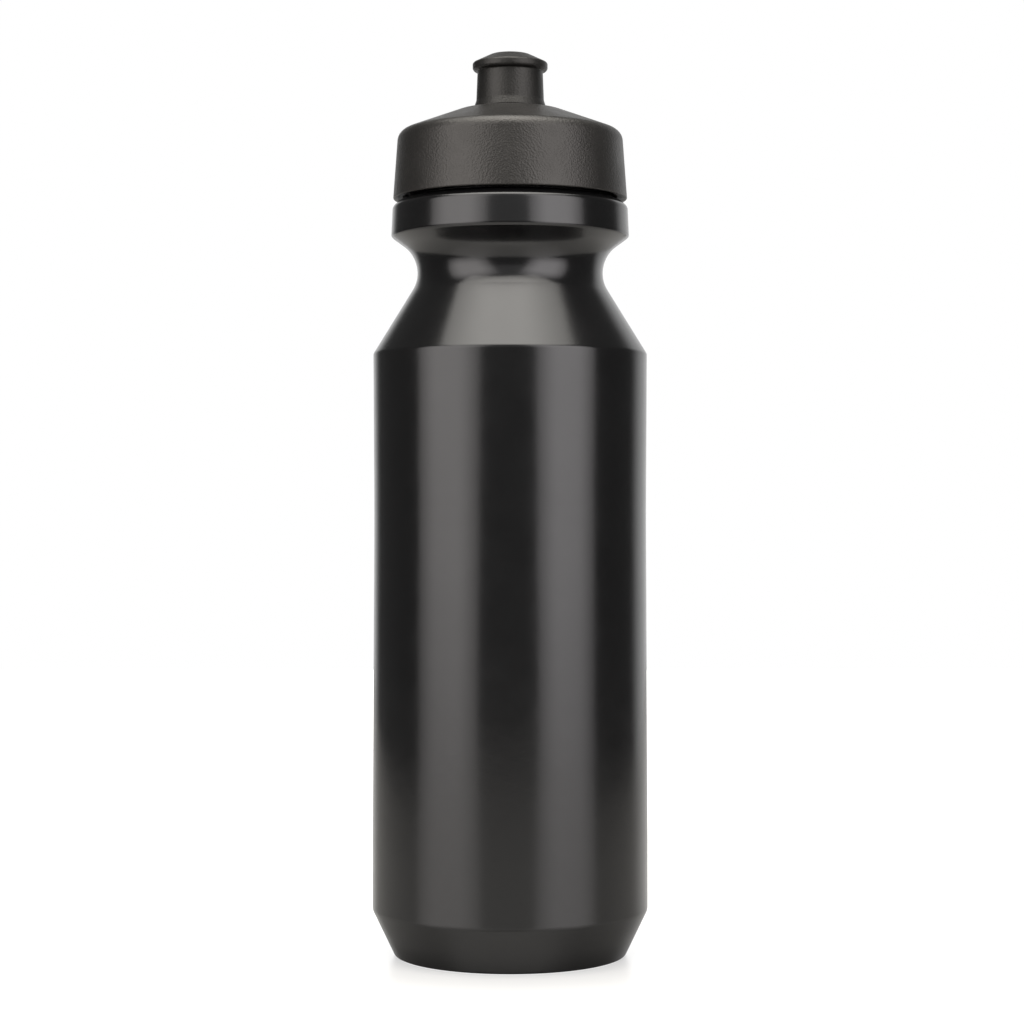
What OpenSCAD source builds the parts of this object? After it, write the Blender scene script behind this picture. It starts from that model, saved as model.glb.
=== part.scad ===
// Sports squeeze bottle: a blow-moulded bottle, a screw cap with its gasket,
// and a push-pull drinking valve. Millimetres, +Z up, origin under the middle of the foot.

/* [Bottle] */
// Radius of the widest band, just above the base, which sits in a 74 mm bottle cage
body_r = 37; // [36.5:0.1:37.5]
// Radius of the slightly hollowed side wall at half height
side_r = 36.55; // [36.3:0.05:36.7]
// Radius of the side wall under the shoulder
shoulder_r = 36.8; // [36.7:0.1:37]
// Height up to which the widest band is straight
cage_band_z = 30; // [26:1:34]
// Height of the corner between side wall and shoulder cone
shoulder_z = 161.5; // [150:0.5:165]
// Thickness of the blow-moulded wall
wall = 1.3; // [1:0.1:1.5]
// Depth of the hollow under the base
push_up = 5; // [3:0.5:7]

/* [Neck] */
// Radius where the shoulder cone and the underside of the collar would meet
waist_r = 21.9; // [21:0.1:22.4]
// Height of that meeting point
waist_z = 185.7; // [185:0.1:187]
// Radius of the collar at its lower edge
collar_r = 32; // [31.5:0.1:32.5]
// Height of the ledge on which the neck stands
ledge_z = 202.7; // [202.4:0.1:203]
// Height of the rim that the gasket closes
rim_z = 217.8; // [217:0.1:218]
// Outside radius of the neck, at the root of its thread
neck_r = 27; // [26.8:0.1:27.2]
// Inside radius of the mouth
mouth_r = 24.9; // [24.8:0.1:25.2]

/* [Thread] */
// Rise of the thread in one turn
lead = 6; // [5.6:0.1:6.4]
// Height of a thread ridge above its root
ridge_h = 1.55; // [1.4:0.05:1.6]
// Room between a ridge and the facing wall
thread_room = 0.35; // [0.3:0.05:0.4]
// Length of each thread, in degrees of turn
thread_turn = 405; // [360:15:420]

/* [Cap] */
// Outside radius of the skirt at its lower edge
skirt_r = 31.5; // [31.3:0.1:31.8]
// Height of the skirt's lower edge
skirt_z = 203.2; // [203:0.1:204]
// Outside radius where the skirt would meet the dome
crown_r = 30.2; // [30:0.1:30.5]
// Height at which the skirt would meet the dome
crown_z = 220.95; // [220.6:0.05:221.1]
// Height of the flat top around the valve
top_z = 227.3; // [227.2:0.1:227.6]
// Thickness of the dome
dome_t = 1.7; // [1.5:0.1:2]
// Thickness of the gasket
gasket_t = 1.35; // [1.2:0.05:1.5]

/* [Valve] */
// Outside radius of the chimney on which the nozzle slides
chimney_r = 6.9; // [6.8:0.05:7]
// Inside radius of the chimney
chimney_bore_r = 5.3; // [5.2:0.05:5.4]
// How far the nozzle pulls up
nozzle_travel = 6; // [5:0.5:6]
// Radius of the drinking hole
hole_r = 2.75; // [2.5:0.05:3]
// Radius of the nozzle's bite lip
lip_r = 10.1; // [9.8:0.1:10.4]
// Height of the nozzle's top
nozzle_z = 242.4; // [242.3:0.1:243]
// Running clearance of the sliding and turning fits
fit = 0.05; // [0.03:0.01:0.08]

/* [Hidden] */
$fn = 96;

arc_step = 7.5;                      // degrees of turn for each straight piece of a round corner
foot_r = 31;                         // where the base chamfer would meet the floor
foot_inner_r = 25.5;                 // inner edge of the foot ring
base_z = 12.4;                       // top of the base chamfer
side_z = 118;                        // height where the side wall is most hollow
mouth_floor_z = ledge_z - 2.2;       // where the mouth opens into the hollow collar
skirt_bore_r = neck_r + ridge_h + thread_room;   // root of the cap's own thread
ceiling_z = rim_z + fit + gasket_t;  // underside of the cap above the gasket
plug_r = mouth_r - 0.4;              // outside of the ring that centres the cap in the mouth
plug_t = 1.1;
plug_h = 3.6;
rim_w = 0.95;                        // width of the skirt's lower edge, under the chamfer inside it
cap_thread_start = 105;              // degrees from the start of the bottle's thread to that of the cap's
ridge_root = 1.5;                    // half widths of a thread ridge along Z, at its root and crest
ridge_crest = 0.6;
ridge_flank_gap = 0.15;              // room between the two threads where they bear
thread_z = ledge_z + 3.5;            // height of the bottle thread's lower end
bead_h = 1.2;                        // the two beads that stop the nozzle pulling off
chimney_bead_r = chimney_r + 0.5;
nozzle_bore_r = chimney_bead_r + fit;
nozzle_foot_z = top_z + 0.25;
nozzle_foot_r = 9.75;                // the nozzle's foot, and its neck just above the foot and under the lip
nozzle_neck_r = 9.1;
nozzle_throat_r = 8.8;
nozzle_crown_r = 4.9;                // where the crown's cone would meet its flat top
lip_z = nozzle_z - 4.7;              // underside and edge of the bite lip
lip_edge_z = nozzle_z - 2.5;
stop_slack = 0.35;                   // room left between the two beads with the nozzle pulled up
chimney_z = nozzle_foot_z + 2 * bead_h + nozzle_travel + stop_slack;
seat_z = top_z - dome_t;             // underside of the cap's flat top, where the core's flange bears
core_r = chimney_bore_r - fit;
core_bore_r = core_r - 1;
core_flange_r = chimney_bore_r + 1.7;
core_flange_t = 1.1;
core_z = 232.5;                      // top of the core's tube
spoke_z = [228.5, 231.5];            // the spokes that hold the pin, and their width
spoke_w = 1.1;
pin_r = 1.8;
pin_head_r = hole_r - fit;
spokes = 3;

// ---- Outlines -------------------------------------------------------------
// An outline is a list of [radius, height, corner radius]. round_off() turns its corners into arcs.

function unit(v) = v / norm(v);
function corner(a, b, c) =
    let (u = unit([a.x - b.x, a.y - b.y]), v = unit([c.x - b.x, c.y - b.y]),
         r = is_undef(b.z) ? 0 : b.z, half = acos(max(-1, min(1, u * v))) / 2)
    r <= 0 || half > 89.9
        ? [[b.x, b.y]]
        : let (reach = r / tan(half), middle = [b.x, b.y] + unit(u + v) * r / sin(half),
               from = [b.x, b.y] + u * reach - middle, to = [b.x, b.y] + v * reach - middle,
               start = atan2(from.y, from.x),
               swing = let (d = atan2(to.y, to.x) - start) d > 180 ? d - 360 : d < -180 ? d + 360 : d,
               n = max(2, ceil(abs(swing) / arc_step)))
          [for (k = [0:n]) middle + r * [cos(start + swing * k / n), sin(start + swing * k / n)]];
function round_off(p) =
    [for (i = [0:len(p) - 1])
        each i == 0 || i == len(p) - 1 ? [[p[i].x, p[i].y]] : corner(p[i - 1], p[i], p[i + 1])];

// The same outline moved sideways by t, to the left of its direction of travel.
function normal(a, b) = let (d = unit([b.x - a.x, b.y - a.y])) [-d.y, d.x];
function turn(a, b, c) = (b.x - a.x) * (c.y - b.y) - (b.y - a.y) * (c.x - b.x);
function shifted(p, t) =
    [for (i = [0:len(p) - 1])
        let (n1 = normal(p[max(i - 1, 0)], p[max(i, 1)]),
             n2 = normal(p[min(i, len(p) - 2)], p[min(i + 1, len(p) - 1)]),
             move = t * (n1 + n2) / (1 + n1 * n2),
             bend = i == 0 || i == len(p) - 1 ? 0 : turn(p[i - 1], p[i], p[i + 1]),
             r = is_undef(p[i].z) ? 0 : p[i].z)
        [p[i].x + move.x, p[i].y + move.y, r <= 0 ? 0 : max(0.2, r - t * sign(bend))]];
function reversed(p) = [for (i = [len(p) - 1:-1:0]) p[i]];

module lathe(points) {
    rotate_extrude() polygon(points);
}

// ---- Thread ---------------------------------------------------------------
// A helical ridge on a wall of radius root_r. Its crest points outwards (side = 1) or inwards
// (side = -1), and both ends sink into the wall.
module ridge(root_r, side, from_angle, swing, z) {
    n = ceil(swing / arc_step);
    sink = 0.5;
    foot_half = ridge_root + (ridge_root - ridge_crest) * sink / ridge_h;
    runout = 35;
    rings = [for (k = [0:n])
        let (a = swing * k / n,
             rise = ridge_h - (ridge_h + sink / 2) * (1 - min(1, a / runout, (swing - a) / runout)),
             section = [[root_r - side * sink, -foot_half], [root_r + side * rise, -ridge_crest],
                        [root_r + side * rise, ridge_crest], [root_r - side * sink, foot_half]])
        [for (p = section)
            [p.x * cos(from_angle + a), p.x * sin(from_angle + a), z + lead * a / 360 + p.y]]];
    m = 4;
    sides = [for (k = [0:n - 1]) for (i = [0:m - 1])
        [k * m + i, k * m + (i + 1) % m, (k + 1) * m + (i + 1) % m, (k + 1) * m + i]];
    first = [for (i = [m - 1:-1:0]) i];
    last = [for (i = [0:m - 1]) n * m + i];
    faces = concat([first], sides, [last]);
    polyhedron(points = [for (ring = rings) each ring],
               faces = side < 0 ? [for (f = faces) reversed(f)] : faces, convexity = 6);
}

// ---- Parts ----------------------------------------------------------------
// From the middle of the base, over the foot and up to the collar's top.
shell_outline = [
    [0, push_up], [13, push_up, 12], [foot_inner_r, 0, 1.5], [foot_r, 0, 1.3],
    [body_r, base_z, 2.6], [body_r, cage_band_z, 200], [side_r, side_z, 1500],
    [shoulder_r, shoulder_z, 1.5], [waist_r, waist_z, 9],
    [collar_r, waist_z + 7.4, 1.3], [collar_r - 0.35, ledge_z - 1.75, 1.6],
    [collar_r - 2.1, ledge_z - 0.25, 0.6], [neck_r, ledge_z, 0.6]];

module bottle() {
    inner = shifted(shell_outline, wall);
    last = len(inner) - 1;
    outside = concat(shell_outline, [[neck_r, rim_z, 0.5]]);
    color([0.07, 0.07, 0.07]) {
        lathe(concat(
            round_off(concat(outside, [[neck_r - 1, rim_z]])),
            round_off(concat([[mouth_r + 1, rim_z], [mouth_r, rim_z, 0.5], [mouth_r, mouth_floor_z, 0.8]],
                             reversed([for (i = [0:last - 1]) inner[i]])))));
        ridge(neck_r, 1, 0, thread_turn, thread_z);
    }
}

module cap_gasket() {
    color([0.75, 0.75, 0.73])
    lathe(round_off([
        [plug_r + 0.1, rim_z + fit], [skirt_bore_r - 0.3, rim_z + fit, 0.25],
        [skirt_bore_r - 0.3, ceiling_z - 0.02, 0.25], [plug_r + 0.1, ceiling_z - 0.02]]));
}

module cap_shell() {
    color([0.1, 0.1, 0.1]) {
        lathe(concat(
            round_off([
                [skirt_r - rim_w, skirt_z], [skirt_r, skirt_z, 0.35], [crown_r, crown_z, 3.2],
                [13.3, top_z - 0.05, 8], [chimney_r, top_z, 0.4],
                [chimney_r, chimney_z - bead_h, 0.1], [chimney_bead_r, chimney_z - bead_h + 0.3, 0.2],
                [chimney_bead_r, chimney_z - 0.4, 0.3], [chimney_r - 0.3, chimney_z]]),
            round_off([
                [chimney_bore_r + 0.3, chimney_z], [chimney_bore_r, chimney_z - 0.3],
                [chimney_bore_r, seat_z], [10.5, seat_z, 4], [plug_r - plug_t, ceiling_z + 1.2, 2],
                [plug_r - plug_t, ceiling_z - plug_h + 0.3, 0.3], [plug_r - plug_t / 2, ceiling_z - plug_h, 0.2],
                [plug_r, ceiling_z - plug_h + 1, 0.3], [plug_r, ceiling_z], [skirt_bore_r, ceiling_z, 0.3],
                [skirt_bore_r, skirt_z + 0.6], [skirt_r - rim_w, skirt_z]])));
        ridge(skirt_bore_r, -1, cap_thread_start, thread_turn, cap_thread_z);
    }
}
// The cap's ridge lies just under the bottle's and starts further round.
flank_reach = ridge_crest + (ridge_root - ridge_crest) * (ridge_h + thread_room) / (2 * ridge_h);
cap_thread_z = thread_z + lead * cap_thread_start / 360 - 2 * flank_reach - ridge_flank_gap;

module valve_core() {
    head_z = nozzle_z - 3;
    color([0.13, 0.13, 0.13]) {
        difference() {
            union() {
                translate([0, 0, seat_z - core_flange_t]) cylinder(r = core_flange_r, h = core_flange_t);
                translate([0, 0, seat_z - 0.5]) cylinder(r = core_r, h = core_z - seat_z + 0.5);
            }
            translate([0, 0, seat_z - 2]) cylinder(r = core_bore_r, h = core_z - seat_z + 3);
        }
        for (i = [0:spokes - 1])
            rotate(90 + i * 360 / spokes)
                translate([0, -spoke_w / 2, spoke_z[0]])
                    cube([core_bore_r + 0.4, spoke_w, spoke_z[1] - spoke_z[0]]);
        lathe(round_off([
            [0, spoke_z[0] - 0.6], [pin_r, spoke_z[0] - 0.6, 0.8], [pin_r, head_z - 1.2, 0.5],
            [pin_head_r, head_z, 0.3], [pin_head_r, nozzle_z - 0.6, 0.8], [0, nozzle_z - 0.3]]));
    }
}

module nozzle() {
    color([0.09, 0.09, 0.09])
    lathe(concat(
        round_off([
            [chimney_r + fit + 0.3, nozzle_foot_z], [nozzle_foot_r, nozzle_foot_z, 0.3],
            [nozzle_foot_r, nozzle_foot_z + 0.4, 0.3], [nozzle_neck_r, nozzle_foot_z + 2.3, 2],
            [nozzle_throat_r, lip_z, 0.4], [lip_r, lip_z, 1], [lip_r, lip_edge_z, 0.7],
            [nozzle_crown_r, nozzle_z, 4], [hole_r, nozzle_z, 0.3], [hole_r, nozzle_z - 0.5]]),
        round_off([
            [hole_r, nozzle_z - 0.6], [hole_r, nozzle_z - 2.6, 0.2], [4.4, nozzle_z - 2.9, 0.8],
            [nozzle_bore_r, lip_z - 0.2, 0.6], [nozzle_bore_r, nozzle_foot_z + bead_h + 0.4],
            [chimney_r + fit, nozzle_foot_z + bead_h], [chimney_r + fit, nozzle_foot_z + 0.3],
            [chimney_r + fit + 0.3, nozzle_foot_z]])));
}

bottle();
cap_gasket();
cap_shell();
valve_core();
nozzle();
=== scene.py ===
"""A black sports squeeze bottle: smooth blow-moulded body, stippled screw cap, push-pull nozzle.

Outlines are lists of [radius, height, corner radius] in millimetres, the same as the CAD's, and
each round piece is turned from one. The frame gives the bodies that the pieces ride on."""

import math
import bmesh
import bpy
from mathutils import Matrix, Quaternion, Vector


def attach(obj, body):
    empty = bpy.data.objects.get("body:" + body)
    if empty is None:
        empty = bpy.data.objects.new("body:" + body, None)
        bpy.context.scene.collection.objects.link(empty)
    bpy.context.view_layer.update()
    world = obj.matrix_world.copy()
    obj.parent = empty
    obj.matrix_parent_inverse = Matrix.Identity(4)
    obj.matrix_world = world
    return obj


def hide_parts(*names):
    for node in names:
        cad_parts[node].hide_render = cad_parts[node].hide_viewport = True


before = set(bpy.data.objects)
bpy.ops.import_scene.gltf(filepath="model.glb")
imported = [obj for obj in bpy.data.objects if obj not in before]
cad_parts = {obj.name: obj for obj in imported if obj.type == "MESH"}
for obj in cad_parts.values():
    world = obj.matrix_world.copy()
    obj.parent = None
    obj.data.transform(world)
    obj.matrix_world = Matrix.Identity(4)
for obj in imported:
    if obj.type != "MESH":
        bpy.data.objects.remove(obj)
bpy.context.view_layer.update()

MM = 0.001

# ---- Camera -----------------------------------------------------------------
# Level, about half way up the bottle.
CAMERA_DISTANCE = 0.667
CAMERA_HEIGHT = 0.119
CAMERA_SIDE = 0.0005
CAMERA_LENS = 86.98
CAMERA_SENSOR = 36

camera = bpy.data.objects.new("camera", bpy.data.cameras.new("camera"))
bpy.context.scene.collection.objects.link(camera)
camera.location = (CAMERA_SIDE, -CAMERA_DISTANCE, CAMERA_HEIGHT)
camera.rotation_euler = (math.radians(90), 0, 0)
camera.data.lens = CAMERA_LENS
camera.data.sensor_width = CAMERA_SENSOR
camera.data.clip_start, camera.data.clip_end = 0.01, 20
bpy.context.scene.camera = camera

# ---- Sizes, in millimetres --------------------------------------------------
# Bottle, from the base up
push_up, push_up_r = 5.0, 13.0           # the hollow under the base, and the radius of its flat
foot_inner_r, foot_r = 25.5, 31.0        # the foot ring
base_z, cage_band_z = 12.4, 30.0         # the straight widest band
body_r, side_r, shoulder_r = 37.0, 36.55, 36.8
side_z, shoulder_z = 118.0, 161.5
waist_r, waist_z = 21.9, 185.7           # where shoulder cone and collar would meet
collar_r, collar_z, ledge_z = 32.0, waist_z + 7.4, 202.7
neck_r, mouth_r, rim_z = 27.0, 24.9, 217.8
mouth_floor_z = ledge_z - 2.2
wall, fit = 1.3, 0.05

# Threads
lead, thread_turn = 6.0, 405             # rise in one turn, and length in degrees
ridge_h, ridge_root, ridge_crest = 1.55, 1.5, 0.6
thread_room, flank_gap = 0.35, 0.15
thread_z = ledge_z + 3.5
cap_thread_start = 105
flank_reach = ridge_crest + (ridge_root - ridge_crest) * (ridge_h + thread_room) / (2 * ridge_h)
cap_thread_z = thread_z + lead * cap_thread_start / 360 - 2 * flank_reach - flank_gap

# Cap and gasket
skirt_r, skirt_z, rim_w = 31.5, 203.2, 0.95
crown_r, crown_z = 30.2, 220.95          # where skirt and dome would meet
dome_r, top_z, dome_t = 13.3, 227.3, 1.7
gasket_t = 1.35
skirt_bore_r = neck_r + ridge_h + thread_room
ceiling_z = rim_z + fit + gasket_t
plug_r, plug_t, plug_h = mouth_r - 0.4, 1.1, 3.6
seat_z, seat_r = top_z - dome_t, 10.5

# Nozzle, and the chimney that it slides on
nozzle_travel, stop_slack, bead_h = 6.0, 0.35, 1.2
hole_r, lip_r, nozzle_z = 2.75, 10.1, 242.4
nozzle_foot_z, nozzle_foot_r, nozzle_neck_r, nozzle_throat_r = top_z + 0.25, 9.75, 9.1, 8.8
nozzle_crown_r, lip_z, lip_edge_z = 4.9, nozzle_z - 4.7, nozzle_z - 2.5
chimney_r, chimney_bore_r = 6.9, 5.3
chimney_bead_r = chimney_r + 0.5
chimney_z = nozzle_foot_z + 2 * bead_h + nozzle_travel + stop_slack
nozzle_bore_r = chimney_bead_r + fit

# Valve core
core_r = chimney_bore_r - fit
core_bore_r, core_z = core_r - 1, 232.5
core_flange_r, core_flange_t = chimney_bore_r + 1.7, 1.1
spoke_low, spoke_high, spoke_w, spokes = 228.5, 231.5, 1.1, 3
spoke_edge, spoke_edge_steps = 0.15, 3   # its rounded edges
pin_r, pin_head_r, pin_head_z = 1.8, hole_r - fit, nozzle_z - 3

# Relief that only the picture needs: half width of its flat top, width of its flanks, height
SEAM_FLAT, SEAM_FLANK, SEAM_PROUD = 0.036, 0.084, 0.035     # the mould's parting line, down both sides
PINCH_FLAT, PINCH_FLANK, PINCH_PROUD = 0.22, 0.33, 0.35     # the weld that pinched the base shut
SEAM_DEGREES = (0.06, 0.13, 0.2, 0.35, 0.6, 1.0, 1.4)       # where the mesh is cut finer for them
# Where they end, and the length over which they fade out
SEAM_LOW, SEAM_HIGH, SEAM_FADE = 1.5, ledge_z - 2, 1
PINCH_R, PINCH_FADE = foot_inner_r - 3, 3

# ---- Outlines ---------------------------------------------------------------
ARC_STEP = math.radians(5)
ARC_STEPS_LEAST = 3
STRAIGHT = math.radians(89.9)            # a corner that hardly bends isn't rounded
SUPPORT_STEP, SUPPORT_EDGE = 4.0, 0.25   # between the extra points, and from the first to the corner


def round_off(outline):
    """The outline's corners as arcs: a list of (radius, height)."""
    points = [Vector(p[:2]) for p in outline]
    out = [points[0]]
    for i in range(1, len(points) - 1):
        here, radius = points[i], (outline[i][2] if len(outline[i]) > 2 else 0)
        back, on = (points[i - 1] - here).normalized(), (points[i + 1] - here).normalized()
        half = math.acos(max(-1, min(1, back.dot(on)))) / 2
        if radius <= 0 or half > STRAIGHT:
            out.append(here)
            continue
        middle = here + (back + on).normalized() * (radius / math.sin(half))
        reach = radius / math.tan(half)
        start, end = here + back * reach - middle, here + on * reach - middle
        swing = math.atan2(start.x * end.y - start.y * end.x, start.dot(end))
        steps = max(ARC_STEPS_LEAST, math.ceil(abs(swing) / ARC_STEP))
        first = math.atan2(start.y, start.x)
        for k in range(steps + 1):
            a = first + swing * k / steps
            out.append(middle + radius * Vector((math.cos(a), math.sin(a))))
    return out + [points[-1]]


def shifted(outline, t):
    """The outline moved by t to the left of its direction of travel."""
    p = [Vector(q[:2]) for q in outline]

    def normal(a, b):
        d = (b - a).normalized()
        return Vector((-d.y, d.x))

    out = []
    for i, here in enumerate(p):
        n1 = normal(p[max(i - 1, 0)], p[max(i, 1)])
        n2 = normal(p[min(i, len(p) - 2)], p[min(i + 1, len(p) - 1)])
        moved = here + t * (n1 + n2) / (1 + n1.dot(n2))
        radius = outline[i][2] if len(outline[i]) > 2 else 0
        if 0 < i < len(p) - 1 and radius > 0:
            bend = (here - p[i - 1]).cross(p[i + 1] - here)
            radius = max(0.2, radius - math.copysign(t, bend))
        out.append([moved.x, moved.y, radius])
    return out


def supported(points):
    """Adds points along straight stretches and close to their ends, so that smooth shading stays
    flat there."""
    out = []
    for a, b in zip(points, points[1:] + points[:1]):
        length = (b - a).length
        out.append(a)
        if length > 4 * SUPPORT_EDGE:
            inner = max(1, math.ceil((length - 2 * SUPPORT_EDGE) / SUPPORT_STEP))
            for k in range(inner + 1):
                along = SUPPORT_EDGE + (length - 2 * SUPPORT_EDGE) * k / inner
                out.append(a.lerp(b, along / length))
    return out


# ---- Meshes -----------------------------------------------------------------
STEPS = 192                              # round the turn
CREASE = math.radians(28)                # a sharper corner than this isn't shaded smooth
NORMAL_WEIGHT = 90                       # how far large faces decide the shading where pieces join
RIDGE_STEP = 3                           # degrees
RIDGE_RUNOUT = 35                        # degrees over which a thread's end sinks into its wall
RIDGE_SINK = 0.5                         # how far a thread reaches into its wall
RIDGE_SOFT, RIDGE_SOFT_Z = 0.25, 0.6     # width of its crest's bevel, and height as a share of that
RIDGE_RISE_LEAST = 0.05
ON_AXIS = 1e-6                           # a point closer to the axis than this is a pole
MERGE = 1e-7                             # metres between points that are one


def turn_angles(fine=()):
    """Angles round the turn, with extra ones close to the X axis for narrow lines there."""
    even = {round(math.tau * k / STEPS, 9) for k in range(STEPS)}
    for degrees in fine:
        for a in (0, 180):
            for s in (-1, 1):
                even.add(round(math.radians(a + s * degrees) % math.tau, 9))
    return sorted(even)


def lathe(bm, points, angles, relief=None):
    """Turns a closed outline about Z. relief(r, z, angle, place) gives a point's shift in r and z,
    and place is its share of the way round the outline."""
    points = supported(points)
    n, m = len(points), len(angles)
    rows = []
    for i, p in enumerate(points):
        if abs(p.x) < ON_AXIS:
            rows.append([bm.verts.new((0, 0, p.y * MM))])
            continue
        row = []
        for a in angles:
            dr, dz = relief(p.x, p.y, a, i / n) if relief else (0, 0)
            r = (p.x + dr) * MM
            row.append(bm.verts.new((r * math.cos(a), r * math.sin(a), (p.y + dz) * MM)))
        rows.append(row)
    for low, high in zip(rows, rows[1:] + rows[:1]):
        if len(low) == 1 and len(high) == 1:
            continue
        for k in range(m):
            j = (k + 1) % m
            corners = [low[k % len(low)], low[j % len(low)], high[j % len(high)], high[k % len(high)]]
            bm.faces.new([c for q, c in enumerate(corners) if c not in corners[:q]])


def helix_ridge(bm, root_r, side, from_angle, z):
    """A thread as one closed sweep, sunk into its wall at both ends. side is 1 outwards, -1 inwards."""
    foot = ridge_root + (ridge_root - ridge_crest) * RIDGE_SINK / ridge_h
    steps = thread_turn // RIDGE_STEP
    rows = []
    for k in range(steps + 1):
        a = thread_turn * k / steps
        share = min(1, a / RIDGE_RUNOUT, (thread_turn - a) / RIDGE_RUNOUT)
        rise = ridge_h - (ridge_h + RIDGE_SINK / 2) * (1 - share)
        soft = RIDGE_SOFT * max(rise, RIDGE_RISE_LEAST) / ridge_h
        soft_z = soft * RIDGE_SOFT_Z
        sunk, crest = root_r - side * RIDGE_SINK, root_r + side * rise
        bevel = crest - side * soft
        section = [(sunk, -foot), (bevel, -ridge_crest - soft_z), (crest, -ridge_crest + soft_z),
                   (crest, ridge_crest - soft_z), (bevel, ridge_crest + soft_z), (sunk, foot)]
        angle = math.radians(from_angle + a)
        rows.append([bm.verts.new((r * MM * math.cos(angle), r * MM * math.sin(angle),
                                   (z + lead * a / 360 + h) * MM)) for r, h in section])
    m = len(rows[0])
    for low, high in zip(rows, rows[1:]):
        for i in range(m):
            bm.faces.new([low[i], low[(i + 1) % m], high[(i + 1) % m], high[i]])
    bm.faces.new(rows[0])
    bm.faces.new(rows[-1][::-1])


def shade_smooth(bm):
    """Smooth but for its corners."""
    for f in bm.faces:
        f.smooth = True
    for e in bm.edges:
        e.smooth = len(e.link_faces) == 2 and e.calc_face_angle(0) < CREASE


def finished(name, bm):
    """An object from a closed mesh."""
    bmesh.ops.recalc_face_normals(bm, faces=bm.faces)
    shade_smooth(bm)
    mesh = bpy.data.meshes.new(name)
    bm.to_mesh(mesh)
    bm.free()
    obj = bpy.data.objects.new(name, mesh)
    bpy.context.scene.collection.objects.link(obj)
    return obj


def turned(name, points, angles=None, relief=None):
    bm = bmesh.new()
    lathe(bm, points, angles or turn_angles(), relief)
    return finished(name, bm)


def threaded(name, root_r, side, from_angle, z):
    bm = bmesh.new()
    helix_ridge(bm, root_r, side, from_angle, z)
    return finished(name, bm)


def joined(obj, others):
    """obj with the other closed meshes merged into it as one solid. Large faces keep their shading."""
    for other in others:
        modifier = obj.modifiers.new("join", "BOOLEAN")
        modifier.operation, modifier.solver, modifier.object = "UNION", "EXACT", other
        dg = bpy.context.evaluated_depsgraph_get()
        mesh = bpy.data.meshes.new_from_object(obj.evaluated_get(dg))
        obj.modifiers.clear()
        obj.data = mesh
        bpy.data.objects.remove(other)
    bm = bmesh.new()
    bm.from_mesh(obj.data)
    bmesh.ops.remove_doubles(bm, verts=bm.verts, dist=MERGE)
    bmesh.ops.dissolve_degenerate(bm, edges=bm.edges, dist=MERGE)
    shade_smooth(bm)
    bm.to_mesh(obj.data)
    bm.free()
    shading = obj.modifiers.new("shading", "WEIGHTED_NORMAL")
    shading.mode, shading.weight, shading.keep_sharp = "FACE_AREA", NORMAL_WEIGHT, True
    return obj


# ---- Pieces -----------------------------------------------------------------
def in_range(value, low, high, soft):
    """1 between low and high, easing to 0 over soft beyond them."""
    inside = min(value - low, high - value) / soft + 1
    t = max(0.0, min(1.0, inside))
    return t * t * (3 - 2 * t)


def make_bottle():
    shell = [
        [0, push_up], [push_up_r, push_up, 12], [foot_inner_r, 0, 1.5], [foot_r, 0, 1.3],
        [body_r, base_z, 2.6], [body_r, cage_band_z, 200], [side_r, side_z, 1500],
        [shoulder_r, shoulder_z, 1.5], [waist_r, waist_z, 9],
        [collar_r, collar_z, 1.3], [collar_r - 0.35, ledge_z - 1.75, 1.6],
        [collar_r - 2.1, ledge_z - 0.25, 0.6], [neck_r, ledge_z, 0.6]]
    inner = shifted(shell, wall)[:-1]
    outside = round_off(shell + [[neck_r, rim_z, 0.5], [neck_r - 1, rim_z]])
    mouth = [[mouth_r + 1, rim_z], [mouth_r, rim_z, 0.5], [mouth_r, mouth_floor_z, 0.8]]
    inside = round_off(mouth + inner[::-1])
    inside[-1] = Vector((0, push_up + wall))
    outside_share = len(supported(outside)) / len(supported(outside + inside))

    def relief(r, z, angle, place):
        if place > outside_share or z > ledge_z - 0.3:
            return 0, 0
        off = r * abs(math.sin(angle))
        if z < push_up + 0.01 and r < foot_inner_r + 1:
            weld = in_range(off, -1, PINCH_FLAT, PINCH_FLANK) * in_range(r, -1, PINCH_R, PINCH_FADE)
            return 0, -PINCH_PROUD * weld
        seam = in_range(off, -1, SEAM_FLAT, SEAM_FLANK) * in_range(z, SEAM_LOW, SEAM_HIGH, SEAM_FADE)
        return SEAM_PROUD * seam, 0

    bottle = turned("bottle_moulding", outside + inside, turn_angles(SEAM_DEGREES), relief)
    return joined(bottle, [threaded("neck_thread", neck_r, 1, 0, thread_z)])


def make_cap():
    outside = round_off([
        [skirt_r - rim_w, skirt_z], [skirt_r, skirt_z, 0.35], [crown_r, crown_z, 3.2],
        [dome_r, top_z - 0.05, 8], [chimney_r, top_z, 0.4],
        [chimney_r, chimney_z - bead_h, 0.1], [chimney_bead_r, chimney_z - bead_h + 0.3, 0.2],
        [chimney_bead_r, chimney_z - 0.4, 0.3], [chimney_r - 0.3, chimney_z]])
    plug_bore_r, plug_z = plug_r - plug_t, ceiling_z - plug_h
    inside = round_off([
        [chimney_bore_r + 0.3, chimney_z], [chimney_bore_r, chimney_z - 0.3],
        [chimney_bore_r, seat_z], [seat_r, seat_z, 4], [plug_bore_r, ceiling_z + 1.2, 2],
        [plug_bore_r, plug_z + 0.3, 0.3], [plug_r - plug_t / 2, plug_z, 0.2],
        [plug_r, plug_z + 1, 0.3], [plug_r, ceiling_z], [skirt_bore_r, ceiling_z, 0.3],
        [skirt_bore_r, skirt_z + 0.6]])
    cap = turned("cap_moulding", outside + inside)
    return joined(cap, [threaded("cap_thread", skirt_bore_r, -1, cap_thread_start, cap_thread_z)])


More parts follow.
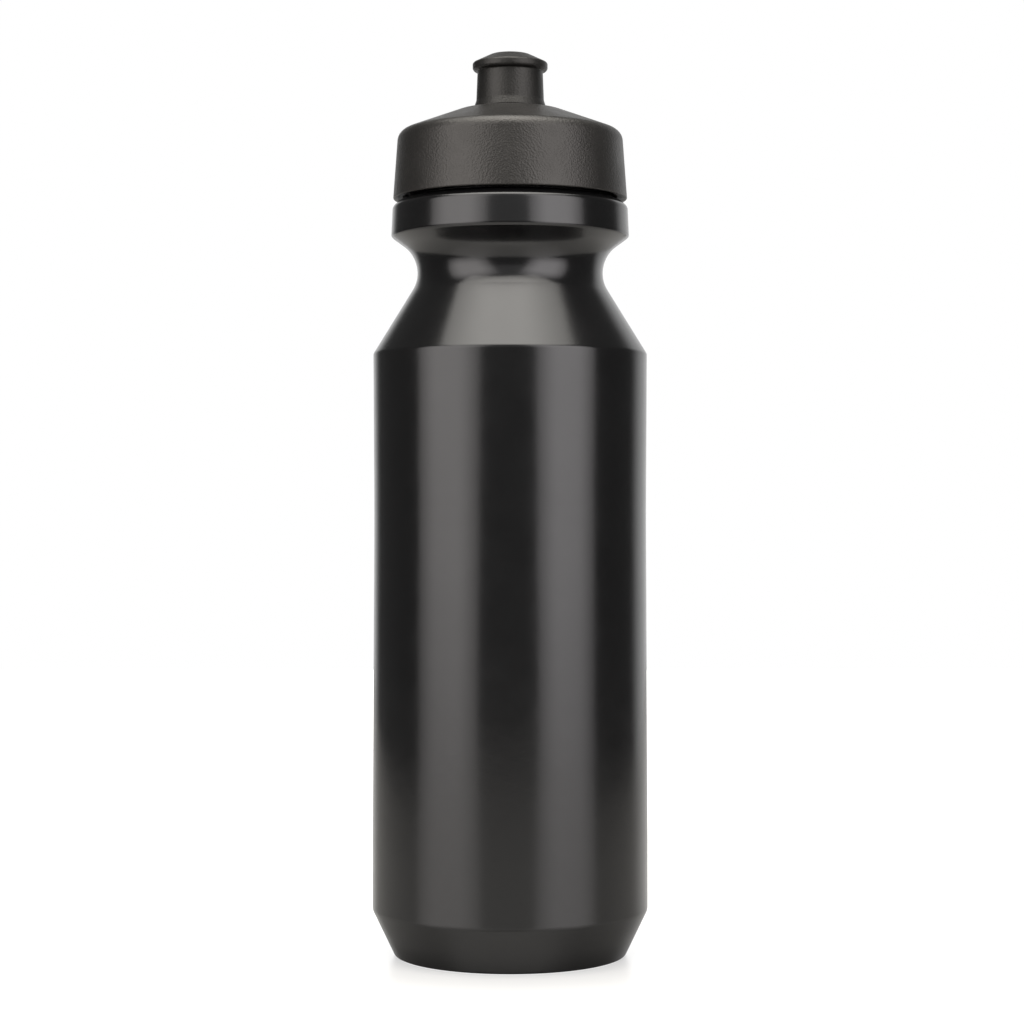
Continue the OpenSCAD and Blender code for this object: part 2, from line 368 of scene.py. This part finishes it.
def make_gasket():
    low, high, soft = rim_z + fit, ceiling_z - 0.02, 0.25
    ring_r, ring_bore_r = skirt_bore_r - 0.3, plug_r + 0.1
    return turned("gasket_ring", round_off([
        [plug_r + 1, low], [ring_r, low, soft], [ring_r, high, soft], [ring_bore_r, high, soft],
        [ring_bore_r, low, soft], [plug_r + 1, low]])[:-1])


def make_spoke(k):
    bm = bmesh.new()
    bmesh.ops.create_cube(bm, size=1)
    length = core_bore_r + 0.4
    for v in bm.verts:
        v.co = Vector(((v.co.x + 0.5) * length * MM, v.co.y * spoke_w * MM,
                       (spoke_low + (v.co.z + 0.5) * (spoke_high - spoke_low)) * MM))
    bmesh.ops.bevel(bm, geom=bm.edges[:], offset=spoke_edge * MM, segments=spoke_edge_steps,
                    affect="EDGES", profile=0.5)
    bmesh.ops.rotate(bm, verts=bm.verts, cent=(0, 0, 0),
                     matrix=Matrix.Rotation(math.radians(90 + k * 360 / spokes), 3, "Z"))
    return finished(f"core_spoke_{k}", bm)


def make_core():
    foot_z, flange_z = seat_z - core_flange_t, seat_z - 0.01
    tube = turned("core_tube", round_off([
        [core_bore_r + 1, foot_z], [core_flange_r, foot_z, 0.3], [core_flange_r, flange_z, 0.15],
        [core_r, flange_z], [core_r, core_z, 0.25], [core_bore_r, core_z, 0.25],
        [core_bore_r, foot_z, 0.3], [core_bore_r + 1, foot_z]])[:-1])
    pin_z = spoke_low - 0.6
    pin = turned("core_pin", round_off([
        [0, pin_z], [pin_r, pin_z, 0.8], [pin_r, pin_head_z - 1.2, 0.5],
        [pin_head_r, pin_head_z, 0.3], [pin_head_r, nozzle_z - 0.6, 0.8], [0, nozzle_z - 0.3]]))
    return joined(tube, [pin] + [make_spoke(k) for k in range(spokes)])


def make_nozzle():
    outside = round_off([
        [chimney_r + fit + 0.3, nozzle_foot_z], [nozzle_foot_r, nozzle_foot_z, 0.3],
        [nozzle_foot_r, nozzle_foot_z + 0.4, 0.3], [nozzle_neck_r, nozzle_foot_z + 2.3, 2],
        [nozzle_throat_r, lip_z, 0.4], [lip_r, lip_z, 1], [lip_r, lip_edge_z, 0.7],
        [nozzle_crown_r, nozzle_z, 4], [hole_r, nozzle_z, 0.3], [hole_r, nozzle_z - 0.5]])
    inside = round_off([
        [hole_r, nozzle_z - 0.6], [hole_r, nozzle_z - 2.6, 0.2], [4.4, nozzle_z - 2.9, 0.8],
        [nozzle_bore_r, lip_z - 0.2, 0.6], [nozzle_bore_r, nozzle_foot_z + bead_h + 0.4],
        [chimney_r + fit, nozzle_foot_z + bead_h], [chimney_r + fit, nozzle_foot_z + 0.3]])
    return turned("nozzle_sleeve", outside + inside)


# ---- Materials --------------------------------------------------------------
class Nodes:
    """A node tree, emptied, with short calls for what the materials and lights are built from."""

    def __init__(self, owner):
        owner.use_nodes = True
        self.tree = owner.node_tree
        self.tree.nodes.clear()

    def add(self, kind, **values):
        """A node. A value sets the property of that name, or the input socket."""
        node = self.tree.nodes.new("ShaderNode" + kind)
        for key, value in values.items():
            if hasattr(node, key):
                setattr(node, key, value)
            else:
                self.give(node.inputs[key.replace("_", " ")], value)
        return node

    def give(self, socket, value):
        """Sets a socket, or links it when the value is another node's output."""
        if isinstance(value, bpy.types.NodeSocket):
            self.tree.links.new(value, socket)
        else:
            socket.default_value = value

    def calc(self, operation, *values):
        node = self.add("Math", operation=operation)
        for socket, value in zip(node.inputs, values):
            self.give(socket, value)
        return node.outputs[0]

    def ramp(self, value, start, end, low=0.0, high=1.0, smooth=True):
        """Goes from low at start to high at end."""
        node = self.add("MapRange", interpolation_type="SMOOTHSTEP" if smooth else "LINEAR",
                        From_Min=start, From_Max=end, To_Min=low, To_Max=high)
        self.give(node.inputs["Value"], value)
        return node.outputs["Result"]

    def mixed(self, share, first, second):
        """The first shader, and the second where share is 1."""
        node = self.add("MixShader", Fac=share)
        self.give(node.inputs[1], first)
        self.give(node.inputs[2], second)
        return node.outputs["Shader"]


PATCH = 9                                # millimetres across a patch of slightly different tone and gloss
PATCH_DARK, PATCH_PALE = 0.9, 1.12


def plastic(name, colour, gloss, rough, rough_spread, grain, wave, tint=(1, 1, 1), stipple=False):
    """Moulded plastic. grain and wave are (size, depth) in millimetres of the surface's fine texture
    and of its slow unevenness. A stippled grain has cells with sharp borders."""
    material = bpy.data.materials.new(name)
    nodes = Nodes(material)
    place = nodes.add("TexCoord").outputs["Object"]

    def noise(size, **values):
        return nodes.add("TexNoise", Vector=place, Scale=1 / (size * MM), **values).outputs["Fac"]

    def bump(height, depth, **values):
        node = nodes.add("Bump", Strength=1.0, Distance=depth * MM, Height=height, **values)
        return node.outputs["Normal"]

    patch = noise(PATCH, Detail=5.0, Roughness=0.6)
    tone = nodes.add("MixRGB", Fac=patch, Color1=[c * PATCH_DARK for c in colour] + [1],
                     Color2=[c * PATCH_PALE for c in colour] + [1]).outputs["Color"]
    roughness = nodes.ramp(patch, 0.3, 0.7, rough - rough_spread, rough + rough_spread, smooth=False)
    wavy = bump(noise(wave[0], Detail=2.0), wave[1])
    if stipple:
        fine = nodes.add("TexVoronoi", feature="SMOOTH_F1", Vector=place,
                         Scale=1 / (grain[0] * MM)).outputs["Distance"]
    else:
        fine = noise(grain[0], Detail=4.0, Roughness=0.6)
    shader = nodes.add("BsdfPrincipled", IOR=1.5, Specular_IOR_Level=gloss, Specular_Tint=(*tint, 1),
                       Base_Color=tone, Roughness=roughness, Normal=bump(fine, grain[1], Normal=wavy))
    nodes.add("OutputMaterial", Surface=shader.outputs["BSDF"])
    return material


bottle_plastic = plastic("bottle_plastic", (0.0036, 0.0036, 0.0037), gloss=0.5, rough=0.18,
                         rough_spread=0.02, grain=(0.5, 0.009), wave=(14, 0.035))
cap_plastic = plastic("cap_plastic", (0.0064, 0.0060, 0.0055), gloss=0.5, rough=0.41, rough_spread=0.05,
                      grain=(0.45, 0.085), wave=(8, 0.03), tint=(1, 0.97, 0.925), stipple=True)
nozzle_plastic = plastic("nozzle_plastic", (0.0052, 0.0050, 0.0046), gloss=0.37, rough=0.44,
                         rough_spread=0.04, grain=(0.5, 0.06), wave=(6, 0.02), tint=(1, 0.98, 0.935),
                         stipple=True)
core_plastic = plastic("core_plastic", (0.006, 0.006, 0.006), gloss=0.45, rough=0.35, rough_spread=0.04,
                       grain=(0.4, 0.004), wave=(6, 0.01))
gasket_rubber = plastic("gasket_rubber", (0.5, 0.5, 0.48), gloss=0.4, rough=0.55, rough_spread=0.05,
                        grain=(0.3, 0.006), wave=(5, 0.01))

PIECES = [
    (make_bottle, "bottle", "bottle_body", "bottle_plastic", bottle_plastic),
    (make_gasket, "cap_gasket", "seal_ring", "gasket_rubber", gasket_rubber),
    (make_cap, "cap_shell", "cap", "cap_plastic", cap_plastic),
    (make_core, "valve_core", "cap", "core_plastic", core_plastic),
    (make_nozzle, "nozzle", "spout", "nozzle_plastic", nozzle_plastic),
]
for make, node, body, slot, material in PIECES:
    piece = make()
    piece.data.materials.clear()
    piece.data.materials.append(material)
    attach(piece, body)
    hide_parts(node)
    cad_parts[node].data.materials.clear()
    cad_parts[node].data.materials.append(material)

# ---- Floor and light --------------------------------------------------------
WHITE = (1, 1, 1, 1)

FLOOR_FRONT, FLOOR_BACK, FLOOR_SIDE = -0.58, 1.2, 0.45
FLOOR_Z = -0.00005                       # just under the foot
FLOOR_CLEAR_R = (foot_r - 0.5) * MM      # the clear disc that the foot covers
FLOOR_TONE, FLOOR_TONE_PAINTED_SHADOW = (0.5, 0.495, 0.48, 1), (0.3, 0.297, 0.288, 1)
PAINTED_SHADOW_R = 0.036, 0.07                # painted contact shadow: the floor's colour is darker within the first, pale from the second
FLOOR_ROUGHNESS, FLOOR_IOR = 0.25, 2.0
FLOOR_WHITE_Y = 0.1, 0.8                 # to the camera it glows, fully from the second on
FLOOR_WHITE = 0.55, 1.0


def make_floor():
    """A pale glossy sweep. The bottle's lower half mirrors it, with the softboxes mirrored in it. Seen
    directly it is white. From below it is clear, and so is the disc under the base, so that the base
    shows."""
    bm = bmesh.new()
    corners = [(-FLOOR_SIDE, FLOOR_FRONT), (FLOOR_SIDE, FLOOR_FRONT),
               (FLOOR_SIDE, FLOOR_BACK), (-FLOOR_SIDE, FLOOR_BACK)]
    bm.faces.new([bm.verts.new((x, y, FLOOR_Z)) for x, y in corners])
    mesh = bpy.data.meshes.new("floor")
    bm.to_mesh(mesh)
    bm.free()
    floor = bpy.data.objects.new("floor", mesh)
    bpy.context.scene.collection.objects.link(floor)

    material = bpy.data.materials.new("floor_paper")
    nodes = Nodes(material)
    place = nodes.add("TexCoord").outputs["Object"]
    split = nodes.add("SeparateXYZ", Vector=place)
    away = nodes.add("VectorMath", operation="LENGTH", Vector=place).outputs["Value"]
    glow = nodes.calc("MULTIPLY", nodes.add("LightPath").outputs["Is Camera Ray"],
                      nodes.ramp(split.outputs["Y"], *FLOOR_WHITE_Y, *FLOOR_WHITE))
    # Painted contact shadow: the floor's colour darkens towards the foot.
    tone = nodes.add("MixRGB", Fac=nodes.ramp(away, *PAINTED_SHADOW_R), Color1=FLOOR_TONE_PAINTED_SHADOW,
                     Color2=FLOOR_TONE).outputs["Color"]
    paper = nodes.add("BsdfPrincipled", Base_Color=tone, Roughness=FLOOR_ROUGHNESS, IOR=FLOOR_IOR,
                      Emission_Color=WHITE, Emission_Strength=glow)
    clear = nodes.calc("MAXIMUM", nodes.add("NewGeometry").outputs["Backfacing"],
                       nodes.calc("LESS_THAN", away, FLOOR_CLEAR_R))
    nodes.add("OutputMaterial", Surface=nodes.mixed(
        clear, paper.outputs["BSDF"], nodes.add("BsdfTransparent").outputs["BSDF"]))
    mesh.materials.append(material)


LIGHT_AIM = Vector((0, 0, 0.13))


def softbox(name, azimuth, elevation, distance, size, radiance, fade, dim, colour, roll=0):
    """A softbox that faces the bottle, with azimuth 0 at the camera's side and positive to the right.
    Over fade of its size at each edge it dims, down to dim of its radiance."""
    width, height = size
    light = bpy.data.lights.new(name, "AREA")
    light.shape = "RECTANGLE"
    light.size, light.size_y = width, height
    light.energy = radiance * math.pi * width * height
    obj = bpy.data.objects.new(name, light)
    bpy.context.scene.collection.objects.link(obj)
    a, e = math.radians(azimuth), math.radians(elevation)
    away = Vector((math.sin(a) * math.cos(e), -math.cos(a) * math.cos(e), math.sin(e)))
    facing = (-away).to_track_quat("-Z", "Y") @ Quaternion((0, 0, 1), math.radians(roll))
    obj.location = LIGHT_AIM + away * distance
    obj.rotation_euler = facing.to_euler()
    obj.visible_camera = False
    nodes = Nodes(light)
    split = nodes.add("SeparateXYZ", Vector=nodes.add("NewGeometry").outputs["Parametric"])
    across, along = [
        nodes.ramp(nodes.calc("ABSOLUTE", nodes.calc("SUBTRACT", split.outputs[axis], 0.5)),
                   0.5, 0.5 - fade, dim, 1.0) for axis in ("X", "Y")]
    glow = nodes.add("Emission", Color=(*colour, 1), Strength=nodes.calc("MULTIPLY", across, along))
    nodes.add("OutputLight", Surface=glow.outputs[0])


# The room's glow. up is the height of a direction, from -1 straight down to 1 straight up.
BACK_AZIMUTH = 11                        # the back is brightest this far to the right
BACK_SPREAD, BACK_UP, BACK_GLOW = (0.66, 0.88), (0.68, 0.5), 0.85
FRONT_Y, FRONT_UP, FRONT_GLOW = (-0.5, -0.9), (0.05, 0.25), (0.05, 0.46)
BELOW_UP, BELOW_GLOW = (-0.5, -0.8), (0.1, 1.3)


def make_world():
    """A pale room behind the bottle and a dim one in front. Below the floor it is bright, for the base.
    Seen directly it is plain white."""
    world = bpy.data.worlds.new("studio")
    bpy.context.scene.world = world
    nodes = Nodes(world)
    way = nodes.add("TexCoord").outputs["Generated"]
    split = nodes.add("SeparateXYZ", Vector=way)
    up = split.outputs["Z"]
    turn = math.radians(BACK_AZIMUTH)
    facing = nodes.add("VectorMath", operation="DOT_PRODUCT", Vector=way)
    facing.inputs[1].default_value = (math.sin(turn), math.cos(turn), 0)
    behind = nodes.calc("MULTIPLY", nodes.ramp(facing.outputs["Value"], *BACK_SPREAD, 0.0, BACK_GLOW),
                        nodes.ramp(up, *BACK_UP))
    ahead = nodes.calc("MULTIPLY", nodes.ramp(split.outputs["Y"], *FRONT_Y),
                       nodes.ramp(up, *FRONT_UP, *FRONT_GLOW))
    below = nodes.ramp(up, *BELOW_UP, *BELOW_GLOW)
    glow = nodes.calc("ADD", below, nodes.calc("ADD", behind, ahead))
    room = nodes.add("Background", Color=WHITE, Strength=glow)
    white = nodes.add("Background", Color=WHITE)
    nodes.add("OutputWorld", Surface=nodes.mixed(
        nodes.add("LightPath").outputs["Is Camera Ray"], room.outputs[0], white.outputs[0]))


make_floor()
make_world()
softbox("softbox_left", azimuth=-51.5, elevation=16, distance=1.25, size=(1.36, 1.5), radiance=3.5,
        fade=0.35, dim=0.45, colour=(1, 0.96, 0.95), roll=-8)
softbox("softbox_right", azimuth=46, elevation=16, distance=1.25, size=(1.24, 1.5), radiance=3.75,
        fade=0.35, dim=0.45, colour=(1, 0.965, 0.975), roll=8)
softbox("softbox_top", azimuth=-10, elevation=78, distance=1.1, size=(1.57, 1.3), radiance=6.5,
        fade=0.4, dim=0.5, colour=(1, 0.972, 0.925))

scene = bpy.context.scene
scene.view_settings.view_transform = "Standard"
scene.view_settings.look = "None"
